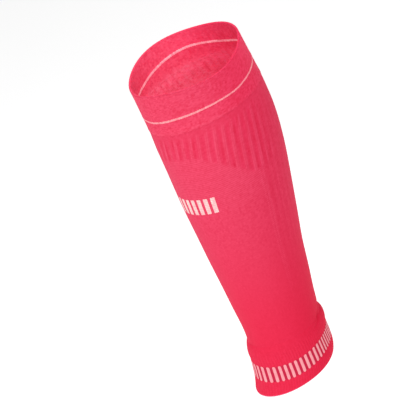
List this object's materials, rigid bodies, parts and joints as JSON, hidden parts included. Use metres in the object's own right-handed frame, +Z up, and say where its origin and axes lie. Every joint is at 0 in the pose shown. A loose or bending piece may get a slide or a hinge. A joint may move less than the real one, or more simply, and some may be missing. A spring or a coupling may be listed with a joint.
{
  "type": "calf compression sleeve",
  "caption": "Knitted tube worn on the calf, with a double cuff below the knee and a double cuff with short pale bars at the ankle.",
  "frame": {"origin": "on the leg's axis, in the middle of the hem at the ankle end", "axes": "+Z up the leg from ankle to knee, +X to the calf and -X to the shin, +Y to the side that the picture doesn't show"},
  "size_m": [0.1241, 0.113, 0.3551],
  "materials": {
    "cuff_knit": "matte double knit",
    "sleeve_knit": "matte ribbed knit",
    "ankle_knit": "matte double knit with pale bars"
  },
  "bodies": {
    "root": {"top_cuff": "cuff_knit", "calf_tube": "sleeve_knit", "ankle_cuff": "ankle_knit"}
  },
  "joints": []
}
